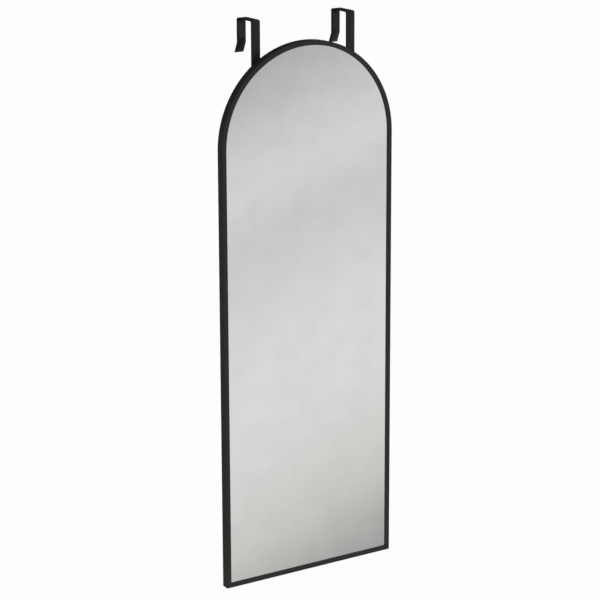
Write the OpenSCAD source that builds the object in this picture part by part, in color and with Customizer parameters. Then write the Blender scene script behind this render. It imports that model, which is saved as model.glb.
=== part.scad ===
// Arched mirror that hangs over the top of a door on two strap hooks.
// Origin: on the top edge of the door, midway between the hooks, in the plane of the door's front
// face. +X is to the right seen from the front, +Y goes into the door, +Z is up. Millimetres.

/* [Mirror] */
// Overall width across the frame
mirror_w = 400; // [300:10:500]
// Overall height from the bottom rail to the top of the arch
mirror_h = 1100; // [800:10:1400]

/* [Frame profile] */
// Width of the face seen around the glass
face_w = 9.5; // [8:0.5:14]
// Thickness of the outer wall
wall_t = 1.2; // [1:0.1:1.6]
// Thickness of the front face
front_t = 1.4; // [1:0.1:2]
// How far the glass sits behind the front face
glass_recess = 2.6; // [2.2:0.1:5]
// Width of the lip that the glass bears on
lip_w = 1.2; // [0.8:0.1:2]
// Width of the rib that closes the groove behind the back board
rib_w = 8; // [6:0.5:9]
// Thickness of that rib
rib_t = 1.2; // [1:0.1:2]
// Depth of the rear channel that takes the corner keys and the hanger bar
channel_d = 3.8; // [3.8:0.1:6]
// Width of the rear flange
rear_w = 9; // [9:0.5:14]
// Thickness of the rear flange
rear_t = 1.4; // [1:0.1:2]
// Rounding of the profile's outside edges
edge_r = 0.6; // [0.2:0.1:0.9]

/* [Glass and backing] */
// Thickness of the silvered glass
glass_t = 4; // [3:0.5:6]
// Thickness of the safety film on the back of the glass
film_t = 0.3; // [0.1:0.1:0.5]
// Thickness of the foam sheet
foam_t = 1.7; // [1:0.1:3]
// Thickness of the back board
board_t = 3; // [2:0.5:6]
// Gap between the sheets and the outer wall, which the edge spacers fill
sheet_gap = 0.8; // [0.5:0.1:1.5]
// Length of an edge spacer
spacer_l = 30; // [15:1:60]
// Share of the straight side at which the lower and upper spacers sit
spacer_at = [0.25, 0.8];
// Thickness of the setting blocks under the sheets
block_t = 1.5; // [1:0.1:3]
// Length of a setting block
block_l = 40; // [20:1:80]
// Distance between the middles of the two setting blocks
block_spacing = 200; // [120:5:220]

/* [Corner keys] */
// Length of each leg, measured from the outside of the corner
key_leg = 34; // [28:1:60]
// Width of a leg
key_w = 6.5; // [5.8:0.1:7]
// Thickness of the key
key_t = 3; // [2:0.1:3.5]
// Clearance between the key and the outer wall
key_gap = 0.4; // [0.1:0.1:0.6]
// Distance of each corner screw from the outside of the corner
corner_screw_at = 22; // [16:1:24]

/* [Hanger bar] */
// Height of the bar
bar_h = 45; // [42:1:80]
// Thickness of the bar
bar_t = 3; // [2:0.1:3.5]
// Middle of the bar below the top of the arch
bar_drop = 115; // [100:1:160]
// Clearance between the ends of the bar and the outer wall
bar_gap = 0.4; // [0.1:0.1:0.6]
// Distance between the two rows of screws at each end of the bar
bar_screw_rows = 25; // [16:1:30]
// Distance of the bar screws from the outside of the frame
bar_screw_in = 4.9; // [4.7:0.1:5]

/* [Hooks] */
// Distance between the middles of the two hooks
hook_spacing = 221; // [160:1:250]
// Width of the strap
strap_w = 20; // [16:1:30]
// Thickness of the strap
strap_t = 2; // [1.5:0.5:3]
// Inside radius of the two upper bends
bend_r = 3; // [1:0.5:4]
// Top of the arch below the top edge of the door
arch_drop = 45; // [30:1:80]
// Thickest door that the hooks take
door_gap = 46; // [30:1:60]
// Height of the rear leg from the top of the hook to the flared lip
leg_h = 48; // [45:1:90]
// How far the lip comes down
lip_drop = 20; // [10:1:40]
// How far the lip flares away from the door
lip_out = 9; // [4:1:15]
// Inside radius of the bend above the lip
lip_r = 5; // [2:1:10]
// Rounding of the lower corners of the strap
strap_corner_r = 3; // [1:0.5:6]

/* [Door pads] */
// Thickness of the foam pads inside each hook
pad_t = 2; // [1.9:0.1:4]
// How far a pad stops short of each edge of the strap
pad_inset = 1.5; // [0.5:0.5:3]
// How far the pads stay below the upper bends
pad_gap = 1; // [1:0.5:5]
// Length of the pad on the front leg
pad_front_l = 77; // [30:1:85]
// Length of the pad on the rear leg
pad_rear_l = 35; // [20:1:36]
// Rounding of the pads' corners
pad_corner_r = 2; // [0.5:0.5:5]

/* [Height adjustment] */
// How far each hook goes up from the middle
travel_up = 25; // [5:1:30]
// How far each hook goes down from the middle
travel_down = 25; // [5:1:28]
// Distance between the two clamp screws of a hook
clamp_pitch = 25; // [22:1:28]
// Width of the slot in the strap
slot_w = 5.5; // [5.2:0.1:7]
// Metal left below the slot
slot_end = 10; // [6:1:20]
// Running clearance on each side of the strap
slide_gap = 0.1; // [0.05:0.05:0.2]

/* [Fasteners] */
// Thread diameter of the clamp screws
clamp_d = 5; // [4:0.5:5]
// Head diameter of the clamp screws
clamp_head_d = 10; // [8:0.5:12]
// Head height of the clamp screws
clamp_head_h = 1.4; // [1:0.1:1.6]
// Flange diameter of the clinch nuts
nut_flange_d = 10; // [8:0.5:11]
// Shank diameter of the clinch nuts
nut_shank_d = 7; // [6:0.1:7.4]
// Thread diameter of the bar screws
bar_screw_d = 4; // [3:0.5:4]
// Head diameter of the bar screws
bar_head_d = 7; // [6:0.5:7.5]
// Head height of the bar screws
bar_head_h = 2.4; // [1.5:0.1:3]
// Thread diameter of the corner screws
corner_screw_d = 3; // [2.5:0.5:3.5]
// Head diameter of the corner screws
corner_head_d = 5.6; // [5:0.1:6.5]
// Head height of the corner screws
corner_head_h = 2; // [1.5:0.1:2.6]
// Width of the arms of the cross recess in every head
recess_w = 0.8; // [0.5:0.1:1]
// Clearance around a thread in its hole
thread_gap = 0.05; // [0.02:0.01:0.1]

/* [Door bumpers] */
// Diameter of a bumper
bumper_d = 8; // [6:0.5:9]
// Rounding of its rim
bumper_r = 0.8; // [0.3:0.1:1.5]
// Distance of each bumper from the side of the frame
bumper_in = 40; // [36:1:100]

/* [Hidden] */
$fn = 96;

// Cuts run this far past a face
over = 1;

// Levels from the top of the door down
arch_r = mirror_w / 2;
z_top = -arch_drop;
z_spring = z_top - arch_r;
z_bottom = z_top - mirror_h;
bar_z = z_top - bar_drop;
hook_top = strap_t;

// Planes from the front of the frame to the door
pack_t = glass_t + film_t + foam_t + board_t;
frame_depth = glass_recess + pack_t + rib_t + channel_d + rear_t;
strap_front = -pad_t - strap_t;
y_back = strap_front - slide_gap;
y_front = y_back - frame_depth;
y_flange = y_back - rear_t;
y_glass = y_front + glass_recess;
y_film = y_glass + glass_t;
y_foam = y_film + film_t;
y_board = y_foam + foam_t;
y_clamp = -pad_t + slide_gap;

// Sheets stand in from the outside by this much
sheet_in = wall_t + sheet_gap;
sheet_foot = wall_t + block_t;

// The hook's flared lip
lip_angle = atan(lip_out / lip_drop);
lip_l = norm([lip_out, lip_drop]) - lip_r * tan(lip_angle / 2);
leg_front = door_gap + pad_t;
leg_back = leg_front + strap_t;
bend_out = bend_r + strap_t;
z_bends = hook_top - bend_out;
z_lip = hook_top - leg_h;
slot_top = bar_z + clamp_pitch / 2 + travel_down;
slot_bottom = bar_z - clamp_pitch / 2 - travel_up;
strap_bottom = slot_bottom - slot_w / 2 - slot_end;

// Half the width of the arch at height z, for an arch of radius r
function half_width(r, z) = z > z_spring ? sqrt(r * r - pow(z - z_spring, 2)) : r;

sides = [-1, 1];
bar_screw_places = [
    for (side = sides, row = sides)
        let (z = bar_z + row * bar_screw_rows / 2)
        [side * half_width(arch_r - bar_screw_in, z), z]
];
clamp_places = [
    for (side = sides, row = sides)
        [side * hook_spacing / 2, bar_z + row * clamp_pitch / 2]
];
key_line = wall_t + key_gap + key_w / 2;
upright_screw_places = [for (side = sides) [side * (arch_r - key_line), z_bottom + corner_screw_at]];
rail_screw_places = [for (side = sides) [side * (arch_r - corner_screw_at), z_bottom + key_line]];
corner_screw_places = concat(upright_screw_places, rail_screw_places);

// ---------- helpers ----------

// Stands a drawing of the front view up, from plane y and t thick towards the door
module upright(y, t) {
    translate([0, y + t, 0]) rotate([90, 0, 0]) linear_extrude(t) children();
}

// Gives a drawing of the side view its width, centred on x
module across(x, w) {
    translate([x - w / 2, 0, 0]) rotate([90, 0, 90]) linear_extrude(w) children();
}

// Points +Z shapes at the door, at each of the given front-view places
module at_places(places, y) {
    for (p = places) translate([p[0], y, p[1]]) rotate([-90, 0, 0]) children();
}

// Round holes towards the door from plane y
module holes(places, y, t, d) {
    at_places(places, y - over) cylinder(d = d + 2 * thread_gap, h = t + 2 * over);
}

// The bit of a square corner outside its rounding; the corner is at the origin
module corner_waste(r) {
    difference() {
        translate([-over, -over]) square(r + over);
        translate([r, r]) circle(r);
    }
}

// A quarter of a ring about the origin, turned from the first quadrant
module quarter_ring(r_in, r_out, turn) {
    rotate(turn) intersection() {
        difference() {
            circle(r_out);
            circle(r_in);
        }
        square(r_out);
    }
}

// Points along an arc about c
function arc(c, r, a0, a1, steps = 12) = [
    for (i = [0:steps]) let (a = a0 + (a1 - a0) * i / steps) c + r * [cos(a), sin(a)]
];

// Head up along +Z, thread below; the head's underside is at the origin
module screw(d, l, head_d, head_h) {
    round_r = head_h / 2;
    recess_l = head_d / 2;
    recess_d = head_h / 2;
    translate([0, 0, -l]) cylinder(d = d, h = l);
    difference() {
        rotate_extrude() {
            square([head_d / 2 - round_r, head_h]);
            square([head_d / 2, head_h - round_r]);
            translate([head_d / 2 - round_r, head_h - round_r]) circle(round_r);
        }
        for (turn = [0, 90]) rotate(turn)
            translate([-recess_l / 2, -recess_w / 2, head_h - recess_d])
                cube([recess_l, recess_w, recess_d + over]);
    }
}

// Front view of everything inside the frame's outline, standing in by the given amount
module arch_shape(inset, foot) {
    r = arch_r - inset;
    translate([0, z_spring]) circle(r);
    translate([-r, z_bottom + foot]) square([2 * r, z_spring - z_bottom - foot]);
}

module sheet(y, t) {
    upright(y, t) arch_shape(sheet_in, sheet_foot);
}

// ---------- frame ----------

// Section of the bent profile: x from the outside inwards, y from the front back
module frame_profile() {
    difference() {
        union() {
            square([wall_t, frame_depth]);
            square([face_w, front_t]);
            translate([face_w - lip_w, 0]) square([lip_w, glass_recess]);
            translate([0, glass_recess + pack_t]) square([rib_w, rib_t]);
            translate([0, frame_depth - rear_t]) square([rear_w, rear_t]);
        }
        corner_waste(edge_r);
        translate([0, frame_depth]) mirror([0, 1]) corner_waste(edge_r);
        translate([face_w, 0]) mirror([1, 0]) corner_waste(edge_r);
        translate([rear_w, frame_depth]) rotate(180) corner_waste(edge_r);
    }
}

// The bottom rail's side of the two mitres, in the front view
module rail_zone() {
    reach = max(face_w, rear_w) + over;
    polygon([
        [-arch_r - over, z_bottom - over],
        [arch_r + over, z_bottom - over],
        [arch_r - reach, z_bottom + reach],
        [-arch_r + reach, z_bottom + reach]
    ]);
}

module upright_profile() {
    translate([-arch_r, y_front, z_bottom])
        linear_extrude(z_spring - z_bottom) frame_profile();
}

module frame_arch() {
    color("#2b2b2b") difference() {
        union() {
            upright_profile();
            mirror([1, 0, 0]) upright_profile();
            translate([0, y_front, z_spring]) rotate([-90, 0, 0]) rotate(180)
                rotate_extrude(angle = 180)
                    translate([arch_r, 0]) mirror([1, 0]) frame_profile();
        }
        upright(y_front - over, frame_depth + 2 * over) rail_zone();
        holes(bar_screw_places, y_flange, rear_t, bar_screw_d);
        holes(upright_screw_places, y_flange, rear_t, corner_screw_d);
    }
}

module bottom_rail() {
    color("#2b2b2b") difference() {
        intersection() {
            translate([-arch_r, y_front, z_bottom]) rotate([90, 0, 90])
                linear_extrude(mirror_w) mirror([1, -1]) frame_profile();
            upright(y_front - over, frame_depth + 2 * over) rail_zone();
        }
        holes(rail_screw_places, y_flange, rear_t, corner_screw_d);
    }
}

// An L of flat steel in the rear channel, across the left mitre
module corner_key() {
    start = wall_t + key_gap;
    color("#8d9094") difference() {
        upright(y_flange - key_t, key_t) translate([-arch_r, z_bottom]) {
            translate([start, start]) square([key_w, key_leg - start]);
            translate([start, start]) square([key_leg - start, key_w]);
        }
        holes(corner_screw_places, y_flange - key_t, key_t, corner_screw_d);
    }
}

module corner_key_left() {
    corner_key();
}

module corner_key_right() {
    mirror([1, 0, 0]) corner_key();
}

module corner_screws() {
    color("#b9bcc0") at_places(corner_screw_places, y_back)
        screw(corner_screw_d, rear_t + key_t, corner_head_d, corner_head_h);
}

// ---------- glass and backing ----------

module mirror_glass() {
    color("#c9cbc9") sheet(y_glass, glass_t);
}

module safety_film() {
    color("#5f6b73") sheet(y_film, film_t);
}

module foam_sheet() {
    color("#e6e6e2") sheet(y_foam, foam_t);
}

module back_board() {
    color("#7d5f43") sheet(y_board, board_t);
}

// Rubber strips that carry the sheets on the bottom rail
module setting_blocks() {
    color("#1d1d1d") for (side = sides)
        translate([side * block_spacing / 2 - block_l / 2, y_glass, z_bottom + wall_t])
            cube([block_l, pack_t, block_t]);
}

// Rubber strips that centre the sheets between the uprights
module edge_spacers() {
    straight = z_spring - z_bottom;
    color("#1d1d1d") for (side = [0, 1], share = spacer_at) mirror([side, 0, 0])
        translate([-arch_r + wall_t, y_glass, z_bottom + share * straight - spacer_l / 2])
            cube([sheet_gap, pack_t, spacer_l]);
}

// ---------- hanger bar ----------

module hanger_bar() {
    color("#2f2f30") difference() {
        upright(y_flange - bar_t, bar_t) intersection() {
            arch_shape(wall_t + bar_gap, 0);
            translate([-arch_r, bar_z - bar_h / 2]) square([mirror_w, bar_h]);
        }
        holes(bar_screw_places, y_flange - bar_t, bar_t, bar_screw_d);
        holes(clamp_places, y_flange - bar_t, bar_t, nut_shank_d);
    }
}

module bar_screws() {
    color("#b9bcc0") at_places(bar_screw_places, y_back)
        screw(bar_screw_d, rear_t + bar_t, bar_head_d, bar_head_h);
}

// Threaded nuts pressed into the bar, with flanges level with the back of the frame
module clinch_nuts() {
    color("#c3c4c2") difference() {
        at_places(clamp_places, y_flange - bar_t) {
            cylinder(d = nut_shank_d, h = bar_t);
            translate([0, 0, bar_t]) cylinder(d = nut_flange_d, h = rear_t);
        }
        holes(clamp_places, y_flange - bar_t, bar_t + rear_t, clamp_d);
    }
}

module clamp_screws() {
    color("#b9bcc0") at_places(clamp_places, y_clamp)
        screw(clamp_d, y_clamp - y_flange + bar_t, clamp_head_d, clamp_head_h);
}

// ---------- hooks ----------

// Side view of the rear leg with its flared lip
module rear_leg() {
    middle = [leg_back + lip_r, z_lip];
    end = 180 + lip_angle;
    lip = lip_l * [sin(lip_angle), -cos(lip_angle)];
    front = arc(middle, lip_r + strap_t, 180, end);
    rear = arc(middle, lip_r, end, 180);
    polygon(concat(
        [[leg_back, z_bends], [leg_front, z_bends]],
        front, [front[len(front) - 1] + lip, rear[0] + lip], rear
    ));
}

// Side view of the strap: x towards the door, y up
module hook_side() {
    translate([strap_front, strap_bottom]) square([strap_t, z_bends - strap_bottom]);
    translate([strap_front + bend_out, z_bends]) quarter_ring(bend_r, bend_out, 90);
    translate([strap_front + bend_out, hook_top - strap_t])
        square([leg_back - strap_front - 2 * bend_out, strap_t]);
    translate([leg_back - bend_out, z_bends]) quarter_ring(bend_r, bend_out, 0);
    rear_leg();
}

// The height slot, in the front view
module slot_shape(x) {
    translate([x - slot_w / 2, slot_bottom]) square([slot_w, slot_top - slot_bottom]);
    for (z = [slot_bottom, slot_top]) translate([x, z]) circle(d = slot_w);
}

module hook(side) {
    x = side * hook_spacing / 2;
    color("#2a2a2b") difference() {
        across(x, strap_w) hook_side();
        upright(strap_front - over, strap_t + 2 * over) {
            slot_shape(x);
            for (turn = [0, 1]) translate([x, strap_bottom]) mirror([turn, 0])
                translate([-strap_w / 2, 0]) corner_waste(strap_corner_r);
        }
    }
}

module hook_left() {
    hook(-1);
}

module hook_right() {
    hook(1);
}

// A foam strip with round corners, stuck to a leg of one hook from plane y towards the door's back
module door_pad(side, y, length) {
    w = strap_w - 2 * pad_inset;
    color("#1c1c1c") upright(y, pad_t)
        translate([side * hook_spacing / 2, z_bends - pad_gap - length]) difference() {
            translate([-w / 2, 0]) square([w, length]);
            for (turn = [0, 1], top = [0, 1]) translate([0, top * length])
                mirror([0, top]) mirror([turn, 0])
                    translate([-w / 2, 0]) corner_waste(pad_corner_r);
        }
}

module front_pad_left() {
    door_pad(-1, -pad_t, pad_front_l);
}

module front_pad_right() {
    door_pad(1, -pad_t, pad_front_l);
}

module rear_pad_left() {
    door_pad(-1, door_gap, pad_rear_l);
}

module rear_pad_right() {
    door_pad(1, door_gap, pad_rear_l);
}

// Rubber feet on the bottom rail that hold the foot of the mirror parallel to the door
module door_bumpers() {
    places = [for (side = sides) [side * (arch_r - bumper_in), z_bottom + rear_w / 2]];
    height = -y_back;
    radius = bumper_d / 2;
    color("#1c1c1c") at_places(places, y_back) rotate_extrude() {
        square([radius, height - bumper_r]);
        square([radius - bumper_r, height]);
        translate([radius - bumper_r, height - bumper_r]) circle(bumper_r);
    }
}

frame_arch();
bottom_rail();
corner_key_left();
corner_key_right();
corner_screws();
mirror_glass();
safety_film();
foam_sheet();
back_board();
setting_blocks();
edge_spacers();
hanger_bar();
bar_screws();
clinch_nuts();
clamp_screws();
hook_left();
hook_right();
front_pad_left();
front_pad_right();
rear_pad_left();
rear_pad_right();
door_bumpers();
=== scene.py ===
"""Looks of an arched mirror that hangs over the top of a door on two strap hooks.

Lengths are in metres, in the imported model's own frame: the origin is on the door's top edge,
midway between the hooks and in the plane of the door's front face. +X is to the right seen from
the front, +Y goes into the door and +Z is up.
"""

import functools
import logging
import math
from collections.abc import Callable, Sequence
from dataclasses import dataclass
from enum import Enum
from typing import Any

import bmesh
import bpy
from bpy.types import ID, Material, Mesh, Node, NodeSocket, NodeTree, Object, World
from mathutils import Matrix, Vector

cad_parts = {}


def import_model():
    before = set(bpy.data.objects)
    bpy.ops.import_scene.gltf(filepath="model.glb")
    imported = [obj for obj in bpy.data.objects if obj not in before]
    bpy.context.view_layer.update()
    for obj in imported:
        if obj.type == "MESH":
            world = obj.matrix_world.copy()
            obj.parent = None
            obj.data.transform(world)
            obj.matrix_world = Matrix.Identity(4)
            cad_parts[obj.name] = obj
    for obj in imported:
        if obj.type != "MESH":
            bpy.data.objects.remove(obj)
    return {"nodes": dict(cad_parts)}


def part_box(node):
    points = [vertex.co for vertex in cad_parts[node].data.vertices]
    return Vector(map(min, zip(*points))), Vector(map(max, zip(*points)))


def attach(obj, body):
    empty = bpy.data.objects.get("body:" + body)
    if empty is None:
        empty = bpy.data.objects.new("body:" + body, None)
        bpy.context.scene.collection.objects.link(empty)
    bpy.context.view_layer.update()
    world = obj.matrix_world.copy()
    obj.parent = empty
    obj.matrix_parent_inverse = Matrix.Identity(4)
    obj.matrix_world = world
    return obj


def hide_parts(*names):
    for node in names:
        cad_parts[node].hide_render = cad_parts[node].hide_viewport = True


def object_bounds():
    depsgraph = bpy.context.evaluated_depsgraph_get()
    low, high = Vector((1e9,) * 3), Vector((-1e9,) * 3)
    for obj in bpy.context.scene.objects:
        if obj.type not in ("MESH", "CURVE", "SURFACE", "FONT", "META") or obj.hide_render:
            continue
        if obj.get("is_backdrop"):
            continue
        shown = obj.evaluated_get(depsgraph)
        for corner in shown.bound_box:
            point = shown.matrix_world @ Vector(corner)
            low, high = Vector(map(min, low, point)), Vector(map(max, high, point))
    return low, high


log = logging.getLogger("mirror")

MM = 0.001
SHARP_DEG = 32
WELD = 0.001 * MM

Point = tuple[float, float]
Corner = tuple[float, float, float]
Colour = tuple[float, float, float, float]
Source = Node | NodeSocket
Adder = Callable[..., Node]


class Side(Enum):
    """The two sides of the mirror, with the sign of their x."""

    LEFT = -1
    RIGHT = 1


class Leg(Enum):
    """The two legs of a hook."""

    FRONT = "front"
    REAR = "rear"


class Body(Enum):
    """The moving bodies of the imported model."""

    MIRROR = "mirror"
    LEFT_HOOK = "left_hook"
    RIGHT_HOOK = "right_hook"


class Slot(Enum):
    """The record's material slots, one of which goes with each new piece."""

    FRAME = "frame"
    ZINC = "zinc_steel"
    BAR = "bar_coat"
    HOOK = "hook_coat"
    PAD = "pad_foam"
    RUBBER = "rubber"


# ---------- node helpers ----------


def linear(code: str) -> Colour:
    """Turns an sRGB hex value into a linear colour.

    Args:
        code: The colour as "#rrggbb".

    Returns:
        Linear red, green, blue and an alpha of 1.
    """
    shares = [int(code[i : i + 2], 16) / 255 for i in (1, 3, 5)]
    red, green, blue = [s / 12.92 if s <= 0.04045 else ((s + 0.055) / 1.055) ** 2.4 for s in shares]
    return (red, green, blue, 1.0)


def per_metre(cell_mm: float) -> float:
    """Gives the scale of a texture from the size of its cells in millimetres."""
    return 1000 / cell_mm


def input_of(node: Node, key: str | int) -> NodeSocket:
    """Finds an input of a node.

    Args:
        node: The node.
        key: The input's index, or its name among the inputs in use.

    Returns:
        The input.
    """
    if isinstance(key, int):
        return node.inputs[key]
    return next(socket for socket in node.inputs if socket.enabled and socket.name == key)


def add_node(
    tree: NodeTree,
    kind: str,
    settings: dict[str | int, Any] | None = None,
    links: dict[str | int, Source] | None = None,
) -> Node:
    """Adds a node with its settings and links.

    Args:
        tree: The node tree that takes the node.
        kind: The node's type name, without the "ShaderNode" that all of them start with.
        settings: Properties of the node, or values of its inputs, by name or index. The name
            "stops" holds the positions and hex colours of a colour ramp.
        links: What feeds the node's inputs, by name or index: a socket, or a node for the first
            of its outputs in use.

    Returns:
        The new node.
    """
    node = tree.nodes.new(f"ShaderNode{kind}")
    for key, value in (settings or {}).items():
        if key == "stops":
            ramp = node.color_ramp.elements
            for place, _ in value[2:]:
                ramp.new(place)
            for element, (place, code) in zip(ramp, sorted(value), strict=True):
                element.position, element.color = place, linear(code)
        elif isinstance(key, str) and hasattr(node, key):
            setattr(node, key, value)
        else:
            input_of(node, key).default_value = value
    for key, source in (links or {}).items():
        is_node = isinstance(source, Node)
        feed = next(socket for socket in source.outputs if socket.enabled) if is_node else source
        tree.links.new(feed, input_of(node, key))
    return node


def clear_tree(owner: Material | World) -> Adder:
    """Gives a material or world an empty node tree.

    Args:
        owner: The material or world.

    Returns:
        add_node for that tree.
    """
    owner.use_nodes = True
    owner.node_tree.nodes.clear()
    return functools.partial(add_node, owner.node_tree)


# ---------- mesh helpers ----------


def new_object(name: str, data: ID) -> Object:
    """Adds an object to the scene.

    Args:
        name: Its name.
        data: The mesh, lamp or camera that it shows.

    Returns:
        The object.
    """
    thing = bpy.data.objects.new(name, data)
    bpy.context.scene.collection.objects.link(thing)
    return thing


def arc(centre: Point, radius: float, start: float, end: float, steps: int = 8) -> list[Point]:
    """Places points along an arc between two angles in degrees, with both ends."""
    angles = [math.radians(start + (end - start) * i / steps) for i in range(steps + 1)]
    return [(centre[0] + radius * math.cos(a), centre[1] + radius * math.sin(a)) for a in angles]


def rounded(corners: Sequence[Corner], steps: int = 5) -> list[Point]:
    """Rounds the corners of an outline.

    Args:
        corners: The corners in order, each with its own radius, which may be 0.
        steps: Number of straight pieces in each rounding.

    Returns:
        The outline's points.
    """
    outline: list[Point] = []
    for i, (x, y, radius) in enumerate(corners):
        corner = Vector((x, y))
        if radius == 0:
            outline.append((x, y))
            continue
        back = (Vector(corners[i - 1][:2]) - corner).normalized()
        ahead = (Vector(corners[(i + 1) % len(corners)][:2]) - corner).normalized()
        half = back.angle(ahead) / 2
        middle = corner + (back + ahead).normalized() * (radius / math.sin(half))
        first = corner + back * (radius / math.tan(half)) - middle
        turn = first.angle_signed(corner + ahead * (radius / math.tan(half)) - middle)
        for step in range(steps + 1):
            spoke = first.copy()
            spoke.rotate(Matrix.Rotation(-turn * step / steps, 2))
            outline.append(tuple(middle + spoke))
    return outline


def shade(data: Mesh) -> None:
    """Shades a mesh smoothly, apart from its sharp edges."""
    data.polygons.foreach_set("use_smooth", [True] * len(data.polygons))
    data.set_sharp_from_angle(angle=math.radians(SHARP_DEG))


def skin(name: str, rings: Sequence[Sequence[Vector]], closed: bool = False) -> Object:
    """Makes a closed surface through rings of points.

    Args:
        name: Name of the new object.
        rings: Rings with the same number of points each.
        closed: True if the last ring joins the first, False if both ends get a cap.

    Returns:
        The object, with smooth shading over its gentle bends.
    """
    mesh = bmesh.new()
    loops = [[mesh.verts.new(point) for point in ring] for ring in rings]
    pairs = list(zip(loops, loops[1:] + loops[:1]))
    for ring, following in pairs if closed else pairs[:-1]:
        for i in range(len(ring)):
            mesh.faces.new((ring[i - 1], ring[i], following[i], following[i - 1]))
    if not closed:
        mesh.faces.new(loops[0])
        mesh.faces.new(loops[-1])
    bmesh.ops.remove_doubles(mesh, verts=mesh.verts, dist=WELD)
    bmesh.ops.recalc_face_normals(mesh, faces=mesh.faces)
    data = bpy.data.meshes.new(name)
    mesh.to_mesh(data)
    mesh.free()
    shade(data)
    return new_object(name, data)


def slab(name: str, outline: Sequence[Point], near: float, far: float) -> Object:
    """Makes an object from a front view, as x and z, and the y of its front and back."""
    return skin(name, [[Vector((x, y, z)) for x, z in outline] for y in (near, far)])


def turned(name: str, outline: Sequence[Point], steps: int = 48) -> Object:
    """Turns an outline about the z axis, as on a lathe.

    Args:
        name: Name of the new object.
        outline: Points as radius and height, all the way round the section.
        steps: Number of straight pieces in a full turn.

    Returns:
        The turned object, at the origin.
    """
    turns = [math.tau * i / steps for i in range(steps)]
    rings = [[Vector((r * math.cos(a), r * math.sin(a), z)) for r, z in outline] for a in turns]
    return skin(name, rings, closed=True)


def settle(piece: Object) -> None:
    """Applies the modifiers of a piece, drops specks from its new mesh and shades it.

    Args:
        piece: The piece, which keeps its name.
    """
    graph = bpy.context.evaluated_depsgraph_get()
    old = piece.data
    made = bpy.data.meshes.new_from_object(piece.evaluated_get(graph), depsgraph=graph)
    piece.modifiers.clear()
    piece.data = made
    bpy.data.meshes.remove(old)
    made.name = piece.name
    mesh = bmesh.new()
    mesh.from_mesh(made)
    bmesh.ops.dissolve_degenerate(mesh, dist=WELD, edges=mesh.edges)
    mesh.to_mesh(made)
    mesh.free()
    shade(made)


def cut(piece: Object, *tools: Object) -> None:
    """Cuts shapes out of a piece, and removes what cut them.

    Args:
        piece: The piece that is cut.
        tools: Closed objects, which are gone afterwards.
    """
    for tool in tools:
        modifier = piece.modifiers.new("cut", "BOOLEAN")
        modifier.solver = "EXACT"
        modifier.object = tool
    settle(piece)
    for tool in tools:
        bpy.data.meshes.remove(tool.data)


def soften(piece: Object, width: float, segments: int = 2) -> None:
    """Rounds every sharp edge of a piece, as deburring and a coat of powder do.

    Args:
        piece: The piece.
        width: Width of the rounding.
        segments: Number of straight pieces in it.
    """
    modifier = piece.modifiers.new("edges", "BEVEL")
    modifier.width = width
    modifier.segments = segments
    modifier.limit_method = "ANGLE"
    modifier.angle_limit = math.radians(SHARP_DEG)
    settle(piece)


def seat(piece: Object, body: Body, slot: Slot, *nodes: str) -> Object:
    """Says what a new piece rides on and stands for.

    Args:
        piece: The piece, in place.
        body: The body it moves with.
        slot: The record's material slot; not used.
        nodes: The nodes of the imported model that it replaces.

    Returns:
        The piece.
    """
    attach(piece, body.value)
    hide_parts(*nodes)
    log.info("%s rides on %s for %s", piece.name, body.value, ", ".join(nodes))
    return piece


# ---------- finishes ----------


@dataclass(frozen=True)
class Finish:
    """A surface, made as a material whose patterns have real sizes.

    Textures that a shader leaves unplaced are placed by the point on the surface, in metres.
    """

    name: str

    def shader(self, add: Adder) -> Node:
        """Adds the nodes of the surface, and gives the shader node that it ends in."""
        raise NotImplementedError

    def relief(
        self,
        add: Adder,
        settings: dict[str, float],
        links: dict[str, Node],
        height: Source,
        strength: float,
        depth_mm: float,
    ) -> Node:
        """Adds the bump and the shader that each finish ends in, and gives the shader node."""
        bump = add("Bump", {"Strength": strength, "Distance": depth_mm * MM}, {"Height": height})
        return add("BsdfPrincipled", settings, links | {"Normal": bump})

    @functools.cache
    def material(self) -> Material:
        """Makes the material the first time, and gives the same one after that.

        Returns:
            The material.
        """
        material = bpy.data.materials.new(self.name)
        add = clear_tree(material)
        add("OutputMaterial", links={"Surface": self.shader(add)})
        place = add("TexCoord").outputs["Object"]
        for node in material.node_tree.nodes:
            if "Vector" in node.inputs and not node.inputs["Vector"].is_linked:
                material.node_tree.links.new(place, node.inputs["Vector"])
        return material

    def dress(self, *pieces: Object) -> None:
        """Gives pieces this finish.

        Args:
            pieces: Objects with a mesh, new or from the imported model.
        """
        for piece in pieces:
            if not piece.material_slots:
                piece.data.materials.append(None)
            for slot in piece.material_slots:
                slot.material = self.material()
            log.info("%s is finished in %s", piece.name, self.name)


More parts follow.
